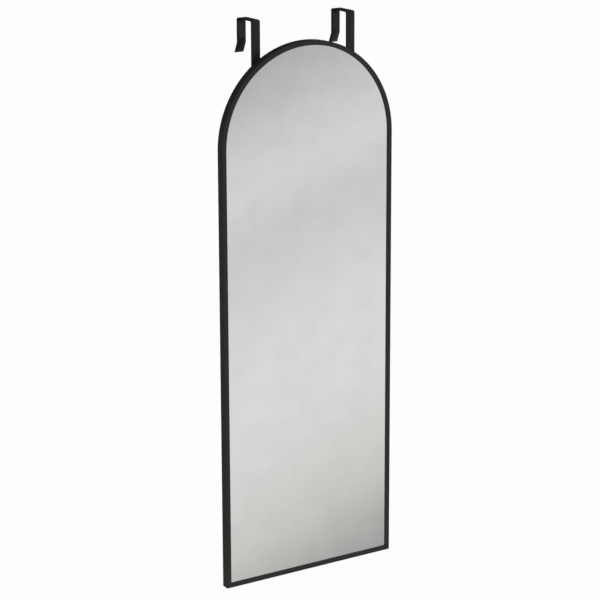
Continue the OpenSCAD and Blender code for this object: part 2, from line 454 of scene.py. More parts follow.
@dataclass(frozen=True)
class PowderCoat(Finish):
    """Polyester powder baked on metal: satin, near black, with a fine grain and a soft peel.

    The grain breaks reflections up so that the faces look even, and the peel lets the few
    highlights waver. In patches along sharp edges the colour is a touch greyer: partly powder
    drawn thin, partly a painted sheen, a highlight painted into the colour.
    """

    dark: str = "#161616"
    light: str = "#202020"
    # painted sheen: the greyer colour of the edges, partly thin powder and partly a painted highlight
    wear_and_sheen_grey: str = "#343434"
    roughness: float = 0.5
    spread: float = 0.08
    gloss: float = 0.28
    grain_mm: float = 0.5
    peel_mm: float = 2.6
    # size of the edge patches that get the wear and painted sheen
    wear_sheen_patch_mm: float = 9.0
    edge_mm: float = 0.35

    def edges(self, add: Adder) -> Node:
        """Adds a mask of edge patches that get the greyer colour of wear and painted sheen.

        Args:
            add: Adds a node to the material.

        Returns:
            A node that gives 1 on edge patches of wear and painted sheen, and 0 elsewhere.
        """
        # wear and painted sheen: the bevel finds the edges, a noise picks patches along them
        bend = add("Bevel", {"samples": 4, "Radius": self.edge_mm * MM})
        normal = add("NewGeometry").outputs["Normal"]
        facing = add("VectorMath", {"operation": "DOT_PRODUCT"}, {0: bend, 1: normal})
        edge = add("MapRange", {"From Min": 0.99, "From Max": 0.85}, {"Value": facing})
        patch = add("TexNoise", {"Scale": per_metre(self.wear_sheen_patch_mm), "Detail": 3.0, "Roughness": 0.7})
        wear_and_sheen_patches = add("MapRange", {"From Min": 0.45, "From Max": 0.7}, {"Value": patch})
        return add("Math", {"operation": "MULTIPLY"}, {0: edge, 1: wear_and_sheen_patches})

    def shader(self, add: Adder) -> Node:
        """Adds the grain, the peel, the edges with wear and painted sheen, and the coat's shader.

        Args:
            add: Adds a node to the material.

        Returns:
            The shader node.
        """
        grain = add("TexNoise", {"Scale": per_metre(self.grain_mm), "Detail": 3.0, "Roughness": 0.6})
        peel = add("TexNoise", {"Scale": per_metre(self.peel_mm), "Detail": 1.0})
        coat = add("ValToRGB", {"stops": [(0.3, self.dark), (0.7, self.light)]}, {"Fac": grain})
        # painted sheen: edge patches take the greyer colour, partly wear and partly a painted highlight
        over = {"data_type": "RGBA", "B": linear(self.wear_and_sheen_grey)}
        colour = add("Mix", over, {"Factor": self.edges(add), "A": coat})
        range_ends = {"To Min": self.roughness - self.spread, "To Max": self.roughness + self.spread}
        roughness = add("MapRange", range_ends, {"Value": peel})
        height = add("Math", {"operation": "MULTIPLY_ADD", 1: 1.5}, {0: peel, 2: grain})
        return self.relief(
            add,
            {"IOR": 1.5, "Specular IOR Level": self.gloss},
            {"Base Color": colour, "Roughness": roughness},
            height,
            strength=0.5,
            depth_mm=0.06,
        )


@dataclass(frozen=True)
class SilveredGlass(Finish):
    """Float glass silvered on its back: a clean neutral mirror with a trace of haze.

    The sheet is so flat that its waves, a hand's width long, only just bend a reflection.
    """

    silver: str = "#f0f0f0"
    haze: str = "#ebebec"
    wave_mm: float = 160.0
    wipe_mm: float = 45.0

    def shader(self, add: Adder) -> Node:
        """Adds the long waves, the faint haze and the mirror's shader.

        Args:
            add: Adds a node to the material.

        Returns:
            The shader node.
        """
        wave = add("TexNoise", {"Scale": per_metre(self.wave_mm), "Detail": 0.0})
        wipe = add("TexNoise", {"Scale": per_metre(self.wipe_mm), "Detail": 2.0})
        colour = add("ValToRGB", {"stops": [(0.35, self.silver), (0.75, self.haze)]}, {"Fac": wipe})
        roughness = add("MapRange", {"To Min": 0.01, "To Max": 0.04}, {"Value": wipe})
        links = {"Base Color": colour, "Roughness": roughness}
        return self.relief(add, {"Metallic": 1.0}, links, wave, strength=0.1, depth_mm=0.05)


@dataclass(frozen=True)
class ZincPlate(Finish):
    """Bright zinc on steel: silvery with cool and straw patches, and faint drawing lines."""

    cool: str = "#b9bfc8"
    straw: str = "#c8c5b6"
    patch_mm: float = 6.0
    line_mm: float = 0.3

    def shader(self, add: Adder) -> Node:
        """Adds the patches, the lines and the metal's shader.

        Args:
            add: Adds a node to the material.

        Returns:
            The shader node.
        """
        patch = add("TexNoise", {"Scale": per_metre(self.patch_mm), "Detail": 2.0})
        lines = add("TexNoise", {"Scale": per_metre(self.line_mm), "Detail": 2.0, "Distortion": 0.2})
        colour = add("ValToRGB", {"stops": [(0.35, self.cool), (0.7, self.straw)]}, {"Fac": patch})
        roughness = add("MapRange", {"To Min": 0.26, "To Max": 0.44}, {"Value": lines})
        links = {"Base Color": colour, "Roughness": roughness}
        return self.relief(add, {"Metallic": 1.0}, links, lines, strength=0.2, depth_mm=0.01)


@dataclass(frozen=True)
class Hardboard(Finish):
    """Pressed wood fibre, its smooth face out: brown, matted with short fibres and dark bits.

    Real fibres are a tenth of a millimetre wide. They are drawn eight times as coarse here, and
    the bits of bark among them five times, so that the mat still shows from across a room.
    """

    pale: str = "#a08260"
    brown: str = "#846444"
    deep: str = "#6a4d32"
    bark: str = "#402d1e"
    fibre_mm: float = 0.8
    fibre_stretch: float = 6.0
    fibre_turns: tuple[float, ...] = (9, 58, 139)
    curl_mm: float = 14.0
    curl_share: float = 0.6
    bark_mm: float = 11.0
    cloud_mm: float = 70.0

    def mat(self, add: Adder, place: Node, turn_deg: float) -> Node:
        """Adds one layer of fibres that lie about one way.

        Args:
            add: Adds a node to the material.
            place: Gives the curled point on the surface, in metres.
            turn_deg: Angle of the fibres to the horizontal.

        Returns:
            A node that gives the layer's height.
        """
        stretched = {
            "vector_type": "TEXTURE",
            "Rotation": (0.0, math.radians(turn_deg), 0.0),
            "Scale": (self.fibre_stretch, 1.0, 1.0),
        }
        return add(
            "TexNoise",
            {"Scale": per_metre(self.fibre_mm), "Detail": 3.0, "Roughness": 0.6},
            {"Vector": add("Mapping", stretched, {"Vector": place})},
        )

    def shader(self, add: Adder) -> Node:
        """Adds three crossing layers of fibres, clouds, bits of bark and the board's shader.

        Args:
            add: Adds a node to the material.

        Returns:
            The shader node.
        """
        curl = add("TexNoise", {"Scale": per_metre(self.curl_mm), "Detail": 1.0})
        curled = add(
            "VectorMath",
            {"operation": "MULTIPLY_ADD", 1: (self.curl_share * self.curl_mm * MM,) * 3},
            {0: curl.outputs["Color"], 2: add("TexCoord").outputs["Object"]},
        )
        layers = [self.mat(add, curled, turn_deg) for turn_deg in self.fibre_turns]
        two = add("Math", {"operation": "MAXIMUM"}, {0: layers[0], 1: layers[1]})
        mat = add("Math", {"operation": "MAXIMUM"}, {0: two, 1: layers[2]})
        cloud = add("TexNoise", {"Scale": per_metre(self.cloud_mm), "Detail": 5.0, "Roughness": 0.65})
        tone = add("Math", {"operation": "MULTIPLY_ADD", 1: 0.2}, {0: cloud, 2: mat})
        fibres = add(
            "ValToRGB",
            {"stops": [(0.55, self.deep), (0.68, self.brown), (0.85, self.pale)]},
            {"Fac": tone},
        )
        bark = add("TexVoronoi", {"Scale": per_metre(self.bark_mm)})
        ragged = add("Math", {"operation": "MULTIPLY_ADD", 1: 0.5}, {0: mat, 2: bark})
        bit = add("MapRange", {"From Min": 0.46, "From Max": 0.4, "To Max": 0.8}, {"Value": ragged})
        over = {"data_type": "RGBA", "B": linear(self.bark)}
        colour = add("Mix", over, {"Factor": bit, "A": fibres})
        roughness = add("MapRange", {"To Min": 0.7, "To Max": 0.5}, {"Value": mat})
        links = {"Base Color": colour, "Roughness": roughness}
        return self.relief(add, {"IOR": 1.5}, links, mat, strength=0.5, depth_mm=0.1)


@dataclass(frozen=True)
class CellFoam(Finish):
    """Closed cell foam cut from sheet: matt, with painted shade in the pits of its opened cells."""

    wall: str = "#262627"
    # painted shade: the darker colour painted into the pits of the cells
    pit_shade: str = "#101011"
    cell_mm: float = 0.9

    def shader(self, add: Adder) -> Node:
        """Adds the cells, with painted shade in their pits, and the foam's shader.

        Args:
            add: Adds a node to the material.

        Returns:
            The shader node.
        """
        cells = add("TexVoronoi", {"Scale": per_metre(self.cell_mm)})
        # painted shade: the pits of the cells take the darker colour
        colour = add("ValToRGB", {"stops": [(0.1, self.pit_shade), (0.6, self.wall)]}, {"Fac": cells})
        values = {"Roughness": 0.9, "IOR": 1.45}
        return self.relief(add, values, {"Base Color": colour}, cells, strength=0.6, depth_mm=0.15)


@dataclass(frozen=True)
class MouldedRubber(Finish):
    """Moulded rubber: soft black with a dusty bloom and the fine texture of its mould."""

    black: str = "#171717"
    bloom: str = "#2a2a2a"
    grit_mm: float = 0.4
    bloom_mm: float = 7.0

    def shader(self, add: Adder) -> Node:
        """Adds the bloom, the grit and the rubber's shader.

        Args:
            add: Adds a node to the material.

        Returns:
            The shader node.
        """
        grit = add("TexNoise", {"Scale": per_metre(self.grit_mm), "Detail": 2.0})
        bloom = add("TexNoise", {"Scale": per_metre(self.bloom_mm), "Detail": 4.0})
        colour = add("ValToRGB", {"stops": [(0.4, self.black), (0.8, self.bloom)]}, {"Fac": bloom})
        values = {"Roughness": 0.7, "IOR": 1.52}
        return self.relief(add, values, {"Base Color": colour}, grit, strength=0.35, depth_mm=0.04)


@dataclass(frozen=True)
class WovenFilm(Finish):
    """Polyester film with a woven backing: grey blue, crossed by fine threads."""

    thread: str = "#7c8890"
    gap: str = "#57636b"
    thread_mm: float = 1.2

    def shader(self, add: Adder) -> Node:
        """Adds the threads both ways and the film's shader.

        Args:
            add: Adds a node to the material.

        Returns:
            The shader node.
        """
        scale = per_metre(self.thread_mm) / math.tau
        across, up = [
            add("TexWave", {"bands_direction": way, "Scale": scale}).outputs["Fac"]
            for way in ("X", "Z")
        ]
        weave = add("Math", {"operation": "MAXIMUM"}, {0: across, 1: up})
        colour = add("ValToRGB", {"stops": [(0.2, self.gap), (0.8, self.thread)]}, {"Fac": weave})
        values = {"Roughness": 0.42, "IOR": 1.57}
        return self.relief(add, values, {"Base Color": colour}, weave, strength=0.3, depth_mm=0.03)


# ---------- fasteners ----------


@dataclass(frozen=True)
class PanScrew:
    """A screw with a low round head and a cross recess, its head's underside at the origin."""

    thread_d: float
    length: float
    head_d: float
    head_h: float
    edge_share: float = 0.12
    side_share: float = 0.42
    crown_share: float = 0.38
    arm_w: float = 0.8 * MM
    arm_shares: tuple[float, float] = (0.34, 0.66)
    recess_share: float = 0.55
    recess_past: float = 1.2
    edge_r: float = 0.08 * MM

    def outline(self) -> list[Point]:
        """Gives the screw's half section: point, thread, bearing face and head.

        Returns:
            The points, as radius and height.
        """
        radius, head_r = self.thread_d / 2, self.head_d / 2
        tip, edge = self.edge_share * self.thread_d, self.edge_share * self.head_h
        side_h, crown_w = self.side_share * self.head_h, self.crown_share * head_r
        crown_h = self.head_h - side_h
        crown = [
            (head_r - crown_w + x * crown_w, side_h + z * crown_h)
            for x, z in arc((0, 0), 1, 0, 90, steps=6)
        ]
        return [
            (0, -self.length),
            (radius - tip, -self.length),
            (radius, tip - self.length),
            (radius, 0),
            (head_r - edge, 0),
            (head_r, edge),
            *crown,
            (0, self.head_h),
        ]

    def recess(self) -> Object:
        """Makes the tapered cross that the driver fits, ready to be cut out of the head.

        Returns:
            The cross.
        """
        heights = ((1 - self.recess_share) * self.head_h, self.recess_past * self.head_h)
        turns = [Matrix.Rotation(math.radians(90 * i), 3, "Z") for i in range(4)]
        rings = []
        for z, arm_share in zip(heights, self.arm_shares):
            arm, half = arm_share * self.head_d / 2, self.arm_w / 2
            quarter = [Vector((arm, -half, z)), Vector((arm, half, z)), Vector((half, half, z))]
            rings.append([turn @ point for turn in turns for point in quarter])
        return skin("recess", rings)

    def turn(self, name: str) -> Object:
        """Makes the screw, for copies to take its mesh.

        Args:
            name: Its name.

        Returns:
            The screw, with the head up along z.
        """
        screw = turned(name, self.outline())
        cut(screw, self.recess())
        soften(screw, self.edge_r, segments=1)
        return screw


@dataclass(frozen=True)
class ClinchNut:
    """A round nut pressed into a plate: shank below the origin's plane, flange above it."""

    bore_d: float = 5.1 * MM
    shank_d: float = 7.0 * MM
    shank_l: float = 3.0 * MM
    flange_d: float = 10.0 * MM
    flange_t: float = 1.4 * MM
    chamfer: float = 0.25 * MM

    def turn(self, name: str) -> Object:
        """Makes the nut, for copies to take its mesh.

        Args:
            name: Its name.

        Returns:
            The nut, with the flange up along z.
        """
        bore, shank, flange = self.bore_d / 2, self.shank_d / 2, self.flange_d / 2
        edge = self.chamfer
        outline = [
            (bore, edge - self.shank_l),
            (bore + edge, -self.shank_l),
            (shank - edge, -self.shank_l),
            (shank, edge - self.shank_l),
            (shank, 0),
            (flange, 0),
            (flange, self.flange_t - edge),
            (flange - edge, self.flange_t),
            (bore + edge, self.flange_t),
            (bore, self.flange_t - edge),
        ]
        return turned(name, outline)


def copies(
    pattern: Object,
    places: Sequence[Vector],
    slot: Slot,
    finish: Finish,
    node: str,
    marks: Sequence[str] = "1234",
) -> None:
    """Sets copies of a small turned piece into the mirror, pointing at the door.

    Args:
        pattern: The piece, with its head up along z. It goes, and its copies share its mesh.
        places: Where the origin of each copy goes.
        slot: The record's material slot.
        finish: What the copies are finished with.
        node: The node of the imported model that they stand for.
        marks: What is added to the name of each copy.
    """
    name, data = pattern.name, pattern.data
    bpy.data.objects.remove(pattern)
    for mark, place in zip(marks, places, strict=True):
        piece = new_object(f"{name}_{mark}", data)
        piece.matrix_world = Matrix.Translation(place) @ Matrix.Rotation(math.radians(-90), 4, "X")
        finish.dress(seat(piece, Body.MIRROR, slot, node))


# ---------- sub-assemblies ----------


@dataclass
class ArchFrame:
    """The bent profile with its mitred foot, and the keys and screws inside its lower corners."""

    coat: Finish
    zinc: Finish
    wall_t: float = 1.2 * MM
    face_w: float = 9.5 * MM
    front_t: float = 1.4 * MM
    lip_w: float = 1.2 * MM
    lip_depth: float = 2.6 * MM
    rib_w: float = 8.0 * MM
    rib_t: float = 1.2 * MM
    rear_w: float = 9.0 * MM
    rear_t: float = 1.4 * MM
    edge_r: float = 0.6 * MM
    lip_r: float = 0.2 * MM
    joint_gap: float = 0.03 * MM
    saw_edge: float = 0.12 * MM
    arch_steps: int = 120
    screw: PanScrew = PanScrew(3.0 * MM, 4.4 * MM, 5.6 * MM, 2.0 * MM)
    screw_in: float = 4.85 * MM
    screw_at: float = 22.0 * MM

    def __post_init__(self) -> None:
        """Takes the outer sizes and the board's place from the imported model."""
        low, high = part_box("frame_arch")
        self.radius = (high.x - low.x) / 2
        self.front, self.back = low.y, high.y
        self.spring = high.z - self.radius
        self.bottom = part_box("bottom_rail")[0].z
        self.rib_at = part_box("back_board")[1].y - self.front

    def section(self) -> list[Point]:
        """Gives the profile's section: inwards from the outside, then back from the front.

        Returns:
            The points, as inset and depth.
        """
        depth = self.back - self.front
        channel, rib_end, lip_in = depth - self.rear_t, self.rib_at + self.rib_t, self.face_w - self.lip_w
        return rounded(
            [
                (0, 0, self.edge_r),
                (self.face_w, 0, self.edge_r),
                (self.face_w, self.lip_depth, self.lip_r),
                (lip_in, self.lip_depth, self.lip_r),
                (lip_in, self.front_t, 0),
                (self.wall_t, self.front_t, 0),
                (self.wall_t, self.rib_at, 0),
                (self.rib_w, self.rib_at, 0),
                (self.rib_w, rib_end, self.lip_r),
                (self.wall_t, rib_end, 0),
                (self.wall_t, channel, 0),
                (self.rear_w, channel, self.lip_r),
                (self.rear_w, depth, self.edge_r),
                (0, depth, self.edge_r),
            ]
        )

    def corner_ring(self, side: Side, lift: float = 0.0) -> list[Vector]:
        """Sets the section into the mitre at one lower corner.

        Args:
            side: Which corner.
            lift: Height of the cut above the true mitre.

        Returns:
            The ring of points.
        """
        return [
            Vector((side.value * (self.radius - inset), self.front + depth, self.bottom + inset + lift))
            for inset, depth in self.section()
        ]

    def arch_ring(self, angle: float) -> list[Vector]:
        """Sets the section at an angle round the arch.

        Args:
            angle: 0 at the left spring, half a turn at the right one, in radians.

        Returns:
            The ring of points.
        """
        return [
            Vector((
                -(self.radius - inset) * math.cos(angle),
                self.front + depth,
                self.spring + (self.radius - inset) * math.sin(angle),
            ))
            for inset, depth in self.section()
        ]

    def bend_profile(self) -> Object:
        """Makes the profile that goes up, round the arch and down again.

        Returns:
            The profile.
        """
        angles = [math.pi * i / self.arch_steps for i in range(self.arch_steps + 1)]
        rings = [
            self.corner_ring(Side.LEFT, self.joint_gap),
            *(self.arch_ring(angle) for angle in angles),
            self.corner_ring(Side.RIGHT, self.joint_gap),
        ]
        profile = skin("bent_profile", rings)
        soften(profile, self.saw_edge, segments=1)
        return seat(profile, Body.MIRROR, Slot.FRAME, "frame_arch")

    def saw_rail(self) -> Object:
        """Makes the straight foot between the two mitres.

        Returns:
            The foot.
        """
        rail = skin("foot_rail", [self.corner_ring(side) for side in Side])
        soften(rail, self.saw_edge, segments=1)
        return seat(rail, Body.MIRROR, Slot.FRAME, "bottom_rail")

    def drive_screws(self) -> None:
        """Sets the screws of the corner keys into the rear flange."""
        places = [
            Vector((side.value * (self.radius - x), self.back, self.bottom + z))
            for side in Side
            for x, z in ((self.screw_in, self.screw_at), (self.screw_at, self.screw_in))
        ]
        copies(self.screw.turn("corner_screw"), places, Slot.ZINC, self.zinc, "corner_screws")

    def build(self, nodes: dict[str, Object]) -> None:
        """Builds and dresses the frame.

        Args:
            nodes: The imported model's nodes.
        """
        self.coat.dress(self.bend_profile(), self.saw_rail())
        self.zinc.dress(nodes["corner_key_left"], nodes["corner_key_right"])
        self.drive_screws()


@dataclass
class SheetPack:
    """What the frame holds: glass, film, foam and board, with the rubber that beds them."""

    glass: Finish
    film: Finish
    foam: Finish
    board: Finish
    rubber: Finish

    def build(self, nodes: dict[str, Object]) -> None:
        """Dresses the sheets and strips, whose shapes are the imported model's own.

        Args:
            nodes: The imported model's nodes.
        """
        self.glass.dress(nodes["mirror_glass"])
        self.film.dress(nodes["safety_film"])
        self.foam.dress(nodes["foam_sheet"])
        self.board.dress(nodes["back_board"])
        self.rubber.dress(nodes["setting_blocks"], nodes["edge_spacers"])


@dataclass
class HangerBar:
    """The steel bar across the back, with its screws, its nuts and the hooks' clamp screws."""

    coat: Finish
    zinc: Finish
    edge_r: float = 0.25 * MM
    hole_gap: float = 0.1 * MM
    rows: float = 25.0 * MM
    screw_in: float = 4.9 * MM
    nut: ClinchNut = ClinchNut()
    bar_screw: PanScrew = PanScrew(4.0 * MM, 4.4 * MM, 7.0 * MM, 2.4 * MM)
    clamp_screw: PanScrew = PanScrew(5.0 * MM, 6.5 * MM, 10.0 * MM, 1.4 * MM)
    end_steps: int = 12
    hole_steps: int = 48

    def __post_init__(self) -> None:
        """Takes the places of bar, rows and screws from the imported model."""
        self.low, self.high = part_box("hanger_bar")
        arch_low, arch_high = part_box("frame_arch")
        self.radius = (arch_high.x - arch_low.x) / 2
        self.spring = arch_high.z - self.radius
        self.back = arch_high.y
        self.clamp_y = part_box("clamp_screws")[1].y - self.clamp_screw.head_h
        middle = (self.low.z + self.high.z) / 2
        self.heights = [middle + row * self.rows / 2 for row in (-1, 1)]
        self.hook_x = [sum(end.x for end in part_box(node)) / 2 for node in ("hook_left", "hook_right")]

    def half_width(self, height: float, gap: float) -> float:
        """Gives half the width at a z, for a line that runs a gap inside the frame's outer edge."""
        return math.sqrt((self.radius - gap) ** 2 - (height - self.spring) ** 2)

    def screw_places(self) -> list[Vector]:
        """Gives the places of the bar's four screws, on the rear flange.

        Returns:
            The places.
        """
        return [
            Vector((side.value * self.half_width(z, self.screw_in), self.back, z))
            for side in Side
            for z in self.heights
        ]

    def clamp_places(self, depth: float) -> list[Vector]:
        """Gives the places of the four clamp screws, two behind each hook, at a y."""
        return [Vector((x, depth, z)) for x in self.hook_x for z in self.heights]

    def drill(self, places: Sequence[Vector], diameter: float) -> Object:
        """Makes the rods that leave holes in the bar.

        Args:
            places: Where the holes go.
            diameter: Diameter of what goes through them.

        Returns:
            One object with all the rods.
        """
        radius = (diameter + self.hole_gap) / 2
        rods = bmesh.new()
        for place in places:
            middle = Matrix.Translation((place.x, (self.low.y + self.high.y) / 2, place.z))
            bmesh.ops.create_cone(
                rods,
                cap_ends=True,
                segments=self.hole_steps,
                radius1=radius,
                radius2=radius,
                depth=3 * (self.high.y - self.low.y),
                matrix=middle @ Matrix.Rotation(math.radians(90), 4, "X"),
            )
        data = bpy.data.meshes.new("rods")
        rods.to_mesh(data)
        rods.free()
        return new_object("rods", data)

    def saw_bar(self) -> Object:
        """Makes the bar, whose ends follow the arch, with its holes.

        Returns:
            The bar.
        """
        rise = (self.high.z - self.low.z) / self.end_steps
        heights = [self.low.z + rise * i for i in range(self.end_steps + 1)]
        gap = self.radius - math.hypot(self.high.x, self.low.z - self.spring)
        right = [(self.half_width(z, gap), z) for z in heights]
        outline = right + [(-x, z) for x, z in reversed(right)]
        bar = slab("flat_bar", outline, self.low.y, self.high.y)
        soften(bar, self.edge_r)
        nut_holes = self.drill(self.clamp_places(self.low.y), self.nut.shank_d)
        cut(bar, nut_holes, self.drill(self.screw_places(), self.bar_screw.thread_d))
        return seat(bar, Body.MIRROR, Slot.BAR, "hanger_bar")

    def build(self) -> None:
        """Builds and dresses the bar and its fasteners."""
        self.coat.dress(self.saw_bar())
        for name, pattern, places in (
            ("bar_screw", self.bar_screw, self.screw_places()),
            ("clinch_nut", self.nut, self.clamp_places(self.high.y)),
            ("clamp_screw", self.clamp_screw, self.clamp_places(self.clamp_y)),
        ):
            copies(pattern.turn(name), places, Slot.ZINC, self.zinc, f"{name}s")


@dataclass
class StrapHook:
    """A steel strap bent over the door, with a height slot below and a foam pad on each leg."""

    side: Side
    coat: Finish
    foam: Finish
    strap_t: float = 2.0 * MM
    bend_r: float = 3.0 * MM
    door_gap: float = 46.0 * MM
    pad_t: float = 2.0 * MM
    leg_h: float = 48.0 * MM
    lip_drop: float = 20.0 * MM
    lip_out: float = 9.0 * MM
    lip_r: float = 5.0 * MM
    slot_w: float = 5.5 * MM
    slot_end: float = 10.0 * MM
    slot_l: float = 75.0 * MM
    corner_r: float = 3.0 * MM
    edge_r: float = 0.3 * MM
    pad_corner_r: float = 2.0 * MM
    pad_edge_r: float = 0.5 * MM

    def __post_init__(self) -> None:
        """Takes the strap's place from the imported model."""
        self.name = self.side.name.lower()
        self.body = Body[f"{self.side.name}_HOOK"]
        self.low, self.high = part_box(f"hook_{self.name}")
        self.x = (self.low.x + self.high.x) / 2

    def strap_side(self) -> list[Point]:
        """Gives the strap's side view, from the foot up, over the door and down to the lip.

        Returns:
            The points, as y and z.
        """
        front, top = self.low.y, self.high.z
        bend_out = self.bend_r + self.strap_t
        leg_back = self.door_gap + self.pad_t + self.strap_t
        bends = top - bend_out
        near, far = (front + bend_out, bends), (leg_back - bend_out, bends)
        knee = (leg_back + self.lip_r, top - self.leg_h)
        angle = math.atan2(self.lip_out, self.lip_drop)
        length = math.hypot(self.lip_out, self.lip_drop) - self.lip_r * math.tan(angle / 2)
        end = 180 + math.degrees(angle)
        reach = Vector((math.sin(angle), -math.cos(angle))) * length
        outside = arc(knee, self.lip_r, 180, end)
        inside = arc(knee, self.lip_r + self.strap_t, end, 180)
        return [
            (front, self.low.z),
            *arc(near, bend_out, 180, 90, steps=10),
            *arc(far, bend_out, 90, 0, steps=10),
            *outside,
            tuple(Vector(outside[-1]) + reach),
            tuple(Vector(inside[0]) + reach),
            *inside,
            *arc(far, self.bend_r, 0, 90),
            *arc(near, self.bend_r, 90, 180),
            (front + self.strap_t, self.low.z),
        ]

    def through(self, outline: Sequence[Point]) -> Object:
        """Makes a tool that cuts a front view, as x and z, through the strap's front leg."""
        return slab("tool", outline, self.low.y - self.strap_t, self.low.y + 2 * self.strap_t)

    def slot(self) -> Object:
        """Makes the tool that cuts the height slot.

        Returns:
            The tool.
        """
        radius = self.slot_w / 2
        low = self.low.z + self.slot_end + radius
        high = low + self.slot_l
        bottom = arc((self.x, low), radius, 180, 360, steps=16)
        return self.through(bottom + arc((self.x, high), radius, 0, 180, steps=16))

    def corner(self, way: Side) -> Object:
        """Makes the tool that rounds one lower corner of the strap.

        Args:
            way: Which of the two corners.

        Returns:
            The tool.
        """
        half, radius, past = (self.high.x - self.low.x) / 2, self.corner_r, self.strap_t
        rounding = [
            (half - radius + radius * x, radius + radius * z) for x, z in arc((0, 0), 1, -90, 0)
        ]
        view = [(half + past, -past), (half - radius, -past), *rounding, (half + past, radius)]
        return self.through([(self.x + way.value * x, self.low.z + z) for x, z in view])

    def bend_strap(self) -> Object:
        """Makes the strap with its slot, round corners and softened edges.

        Returns:
            The strap.
        """
        outline = self.strap_side()
        sides = [[Vector((x, y, z)) for y, z in outline] for x in (self.low.x, self.high.x)]
        strap = skin(f"strap_{self.name}", sides)
        cut(strap, self.slot(), *(self.corner(way) for way in Side))
        soften(strap, self.edge_r)
        return seat(strap, self.body, Slot.HOOK, f"hook_{self.name}")

    def cut_pad(self, leg: Leg) -> Object:
        """Makes the foam strip stuck to one leg, die cut with round corners.

        Args:
            leg: Which leg.

        Returns:
            The pad.
        """
        node = f"{leg.value}_pad_{self.name}"
        low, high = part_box(node)
        corners = [(low.x, low.z), (high.x, low.z), (high.x, high.z), (low.x, high.z)]
        outline = rounded([(x, z, self.pad_corner_r) for x, z in corners])
        pad = slab(f"foam_{leg.value}_{self.name}", outline, low.y, high.y)
        soften(pad, self.pad_edge_r, segments=4)
        return seat(pad, self.body, Slot.PAD, node)

    def build(self) -> None:
        """Builds and dresses the hook."""
        self.coat.dress(self.bend_strap())
        self.foam.dress(*(self.cut_pad(leg) for leg in Leg))


@dataclass
class DoorBumpers:
    """Rubber feet low on the back that keep the mirror off the door."""

    rubber: Finish
    rim_r: float = 0.8 * MM
    foot_r: float = 0.3 * MM
    dimple_r: float = 2.2 * MM
    dimple_depth: float = 0.3 * MM

    def build(self) -> None:
        """Moulds one foot and sets it on both sides."""
        low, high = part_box("door_bumpers")
        radius, height = (high.z - low.z) / 2, high.y - low.y
        outline = [
            (0, 0),
            *arc((radius - self.foot_r, self.foot_r), self.foot_r, -90, 0, steps=3),
            *arc((radius - self.rim_r, height - self.rim_r), self.rim_r, 0, 90, steps=6),
            (self.dimple_r, height),
            (self.dimple_r - self.dimple_depth, height - self.dimple_depth),
            (0, height - self.dimple_depth),
        ]
        middle = (low.z + high.z) / 2
        places = [Vector((side.value * (high.x - radius), low.y, middle)) for side in Side]
        marks = [side.name.lower() for side in Side]
        copies(turned("bumper", outline), places, Slot.RUBBER, self.rubber, "door_bumpers", marks)


# ---------- studio ----------


@dataclass(frozen=True)
class Viewpoint:
    """The photograph's viewpoint, found by fitting a camera to the edges of frame and hooks."""

    location: tuple[float, float, float] = (-2.5051, -3.8281, 0.6791)
    yaw_deg: float = 33.115
    pitch_deg: float = -15.316
    roll_deg: float = -0.203
    focal_mm: float = 141.26
    sensor_mm: float = 36.0

    def build(self) -> None:
        """Makes the camera and hands it to the scene."""
        camera = bpy.data.cameras.new("photo_camera")
        camera.lens = self.focal_mm
        camera.sensor_width = self.sensor_mm
        holder = new_object("photo_camera", camera)
        place = Matrix.Translation(self.location)
        for degrees, axis in ((-self.yaw_deg, "Z"), (90 + self.pitch_deg, "X"), (self.roll_deg, "Z")):
            place @= Matrix.Rotation(math.radians(degrees), 4, axis)
        holder.matrix_world = place
        bpy.context.scene.camera = holder


@dataclass(frozen=True)
class Softbox:
    """A square lamp that points at the middle of the mirror."""

    name: str
    place: tuple[float, float, float]
    size: float
    watts: float

    def build(self, target: Vector) -> None:
        """Hangs the lamp.

        Args:
            target: The point that it faces.
        """
        lamp = bpy.data.lights.new(self.name, "AREA")
        lamp.shape = "SQUARE"
        lamp.size = self.size
        lamp.energy = self.watts
        holder = new_object(self.name, lamp)
        holder.location = self.place
        holder.rotation_mode = "QUATERNION"
        holder.rotation_quaternion = (target - Vector(self.place)).to_track_quat("-Z", "Y")
        holder.visible_camera = False


